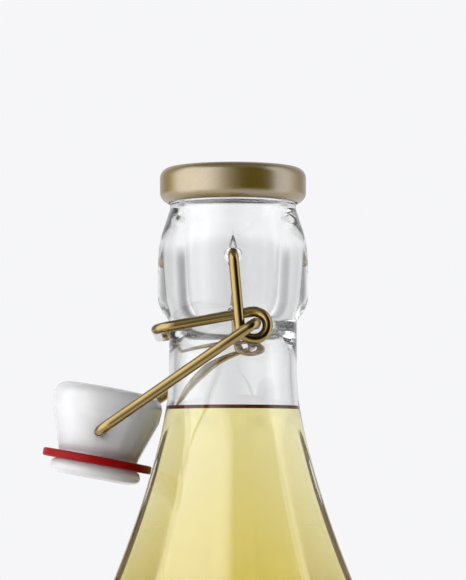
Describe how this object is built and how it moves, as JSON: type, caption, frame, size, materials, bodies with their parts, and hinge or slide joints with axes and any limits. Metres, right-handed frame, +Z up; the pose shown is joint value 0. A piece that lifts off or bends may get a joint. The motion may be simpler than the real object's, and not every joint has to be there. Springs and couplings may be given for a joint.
{
  "type": "swing-top growler",
  "caption": "Faceted clear glass growler with a wire swing-top closure, a glazed stopper with a rubber ring, and a gold screw cap on its mouth.",
  "frame": {"origin": "on the bottle's axis at the plane of the standing ring", "axes": "+Z up along the bottle's axis to the mouth; the closure's front socket faces -Y; the stopper hangs towards -X"},
  "size_m": [0.124, 0.1298, 0.312],
  "materials": {
    "clear_glass": "polished clear soda-lime glass",
    "gold_cap": "satin gold lacquer on drawn aluminium",
    "cap_plastic": "moulded white",
    "liner_foam": "smooth white foam",
    "gold_wire": "polished gold plated wire",
    "white_glaze": "gloss white glazed porcelain",
    "red_rubber": "dark red moulded rubber"
  },
  "bodies": {
    "bottle": {"bottle": "clear_glass"},
    "cap_liner": {"cap_liner": "liner_foam"},
    "cap": {"cap_shell": "gold_cap", "cap_insert": "cap_plastic"},
    "lever": {"lever_wire": "gold_wire"},
    "bail": {"stopper_bail": "gold_wire"},
    "stopper": {"stopper": "white_glaze", "stopper_gasket": "red_rubber"}
  },
  "joints": [
    {"name": "cap_turn", "type": "hinge", "parent": "cap_liner", "child": "cap", "pos_m": [0, 0, 0.312], "axis": [0, 0, 1], "range_deg": [0, 540]},
    {"name": "cap_lift", "type": "slide", "parent": "bottle", "child": "cap_liner", "axis": [0, 0, 1], "range_m": [0, 0.0064]},
    {"name": "lever_pivot", "type": "hinge", "parent": "bottle", "child": "lever", "pos_m": [0, 0, 0.287], "axis": [0, 1, 0], "range_deg": [0, 60]},
    {"name": "bail_hook", "type": "hinge", "parent": "lever", "child": "bail", "pos_m": [0.00605, 0, 0.26813], "axis": [0, 1, 0], "range_deg": [0, 30]},
    {"name": "stopper_swivel", "type": "hinge", "parent": "bail", "child": "stopper", "pos_m": [-0.0356, 0, 0.2395], "axis": [0, 1, 0], "range_deg": [0, 5]}
  ],
  "couplings": [
    {"joint": "cap_lift", "follows": "cap_turn", "m_per_rad": 0.00066845}
  ]
}
